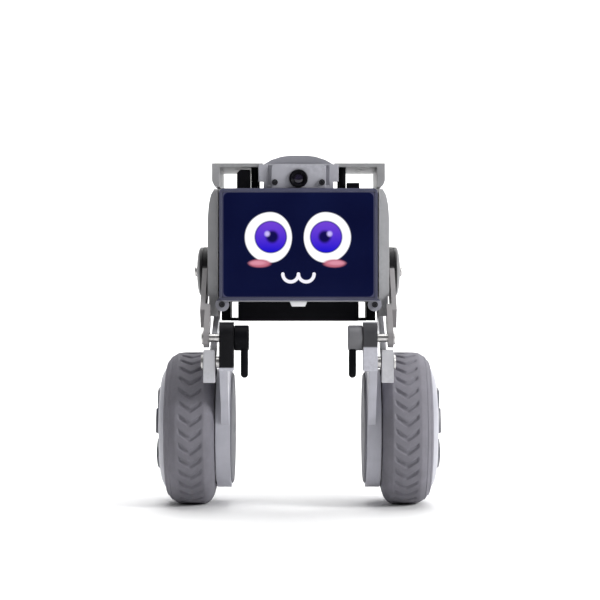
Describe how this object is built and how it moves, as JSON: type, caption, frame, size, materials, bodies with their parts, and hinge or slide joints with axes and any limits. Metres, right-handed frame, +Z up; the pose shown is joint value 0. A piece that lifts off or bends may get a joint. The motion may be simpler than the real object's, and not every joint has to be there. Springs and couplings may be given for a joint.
{
  "type": "educational coding robot",
  "caption": "Two-wheeled balancing coding robot with a screen face, top camera and folding legs ending in hub-motor wheels.",
  "frame": {"origin": "on the ground plane, under the middle of the object's box", "axes": "+Z up, the screen faces -Y, +X is the robot's own left; wheel axles run along X"},
  "size_m": [0.1404, 0.09, 0.1715],
  "materials": {
    "cover_grey": "fine moulded texture, satin",
    "roof_grey": "powder coated sheet",
    "camera_grey": "moulded, light grey",
    "bezel_grey": "thin lavender-grey frame",
    "screen_glass": "near-black navy cover glass with the lit face behind it",
    "panel_black": "display panel",
    "clip_white": "white clip",
    "black_plastic": "black, fine grain",
    "lens_black": "lens barrel",
    "dark_arm": "dark anodised look",
    "light_link": "bead-blasted",
    "shank_grey": "light grey moulded housing",
    "hip_cap_grey": "domed cap",
    "steel": "bright pins and axles",
    "screw_black": "blackened screws",
    "tyre_grey": "grey rubber",
    "rim_grey": "machined rotor",
    "hub_grey": "moulded hub cap",
    "board_green": "solder mask",
    "battery_wrap": "blue shrink wrap",
    "socket_steel": "stamped shell"
  },
  "bodies": {
    "chassis": {"bottom_plate": "roof_grey", "top_plate": "roof_grey", "side_cover_left": "cover_grey", "side_cover_right": "cover_grey", "rear_cover": "cover_grey", "main_board": "board_green", "usb_socket": "socket_steel", "battery_box": "black_plastic", "battery_pack": "battery_wrap", "display_bezel": "bezel_grey", "display_glass": "screen_glass", "display_panel": "panel_black", "display_clip": "clip_white", "camera_face": "camera_grey", "camera_housing": "camera_grey", "camera_lens": "lens_black", "roof_bracket": "roof_grey", "roof_posts": "black_plastic", "sensor_module": "black_plastic", "expansion_header": "black_plastic", "hip_servo_left": "black_plastic", "hip_servo_right": "black_plastic", "link_bracket_left": "black_plastic", "link_bracket_right": "black_plastic", "link_screws": "steel", "case_screws": "screw_black"},
    "button": {"power_button": "black_plastic"},
    "thigh_left": {"thigh_arm_left": "dark_arm", "servo_horn_left": "black_plastic", "hip_cap_left": "hip_cap_grey", "hip_screw_left": "steel", "knee_pin_left": "steel"},
    "link_left": {"drive_link_left": "light_link"},
    "shank_left": {"shank_left": "shank_grey", "motor_cover_left": "cover_grey", "stator_left": "rim_grey", "axle_left": "steel", "knee_guide_left": "black_plastic", "link_pin_left": "steel"},
    "wheel_left": {"wheel_rim_left": "rim_grey", "wheel_bearings_left": "steel", "tyre_left": "tyre_grey", "hub_cap_left": "hub_grey"},
    "thigh_right": {"thigh_arm_right": "dark_arm", "servo_horn_right": "black_plastic", "hip_cap_right": "hip_cap_grey", "hip_screw_right": "steel", "knee_pin_right": "steel"},
    "link_right": {"drive_link_right": "light_link"},
    "shank_right": {"shank_right": "shank_grey", "motor_cover_right": "cover_grey", "stator_right": "rim_grey", "axle_right": "steel", "knee_guide_right": "black_plastic", "link_pin_right": "steel"},
    "wheel_right": {"wheel_rim_right": "rim_grey", "wheel_bearings_right": "steel", "tyre_right": "tyre_grey", "hub_cap_right": "hub_grey"}
  },
  "joints": [
    {"name": "power_button_press", "type": "slide", "parent": "chassis", "child": "button", "axis": [0, -1, 0], "range_m": [0, 0.0008], "stiffness_N_per_m": 300, "springref_m": -0.0005},
    {"name": "hip_left", "type": "hinge", "parent": "chassis", "child": "thigh_left", "pos_m": [0.046, 0.00725, 0.11575], "axis": [1, 0, 0], "range_deg": [-10, 12]},
    {"name": "knee_left", "type": "hinge", "parent": "thigh_left", "child": "shank_left", "pos_m": [0.037, -0.03875, 0.0835], "axis": [1, 0, 0], "range_deg": [-23.5, 19.6]},
    {"name": "link_top_left", "type": "hinge", "parent": "chassis", "child": "link_left", "pos_m": [0.04, 0.01525, 0.0978], "axis": [1, 0, 0], "range_deg": [-8.6, 10.3]},
    {"name": "wheel_spin_left", "type": "hinge", "parent": "shank_left", "child": "wheel_left", "pos_m": [0.053, 0.00725, 0.03775], "axis": [1, 0, 0], "continuous": true},
    {"name": "hip_right", "type": "hinge", "parent": "chassis", "child": "thigh_right", "pos_m": [-0.046, 0.00725, 0.11575], "axis": [1, 0, 0], "range_deg": [-10, 12]},
    {"name": "knee_right", "type": "hinge", "parent": "thigh_right", "child": "shank_right", "pos_m": [-0.037, -0.03875, 0.0835], "axis": [1, 0, 0], "range_deg": [-23.5, 19.6]},
    {"name": "link_top_right", "type": "hinge", "parent": "chassis", "child": "link_right", "pos_m": [-0.04, 0.01525, 0.0978], "axis": [1, 0, 0], "range_deg": [-8.6, 10.3]},
    {"name": "wheel_spin_right", "type": "hinge", "parent": "shank_right", "child": "wheel_right", "pos_m": [-0.053, 0.00725, 0.03775], "axis": [1, 0, 0], "continuous": true}
  ],
  "couplings": [
    {"joint": "knee_left", "follows": "hip_left", "ratio": -1.934},
    {"joint": "link_top_left", "follows": "hip_left", "ratio": 0.843},
    {"joint": "knee_right", "follows": "hip_right", "ratio": -1.934},
    {"joint": "link_top_right", "follows": "hip_right", "ratio": 0.843}
  ]
}
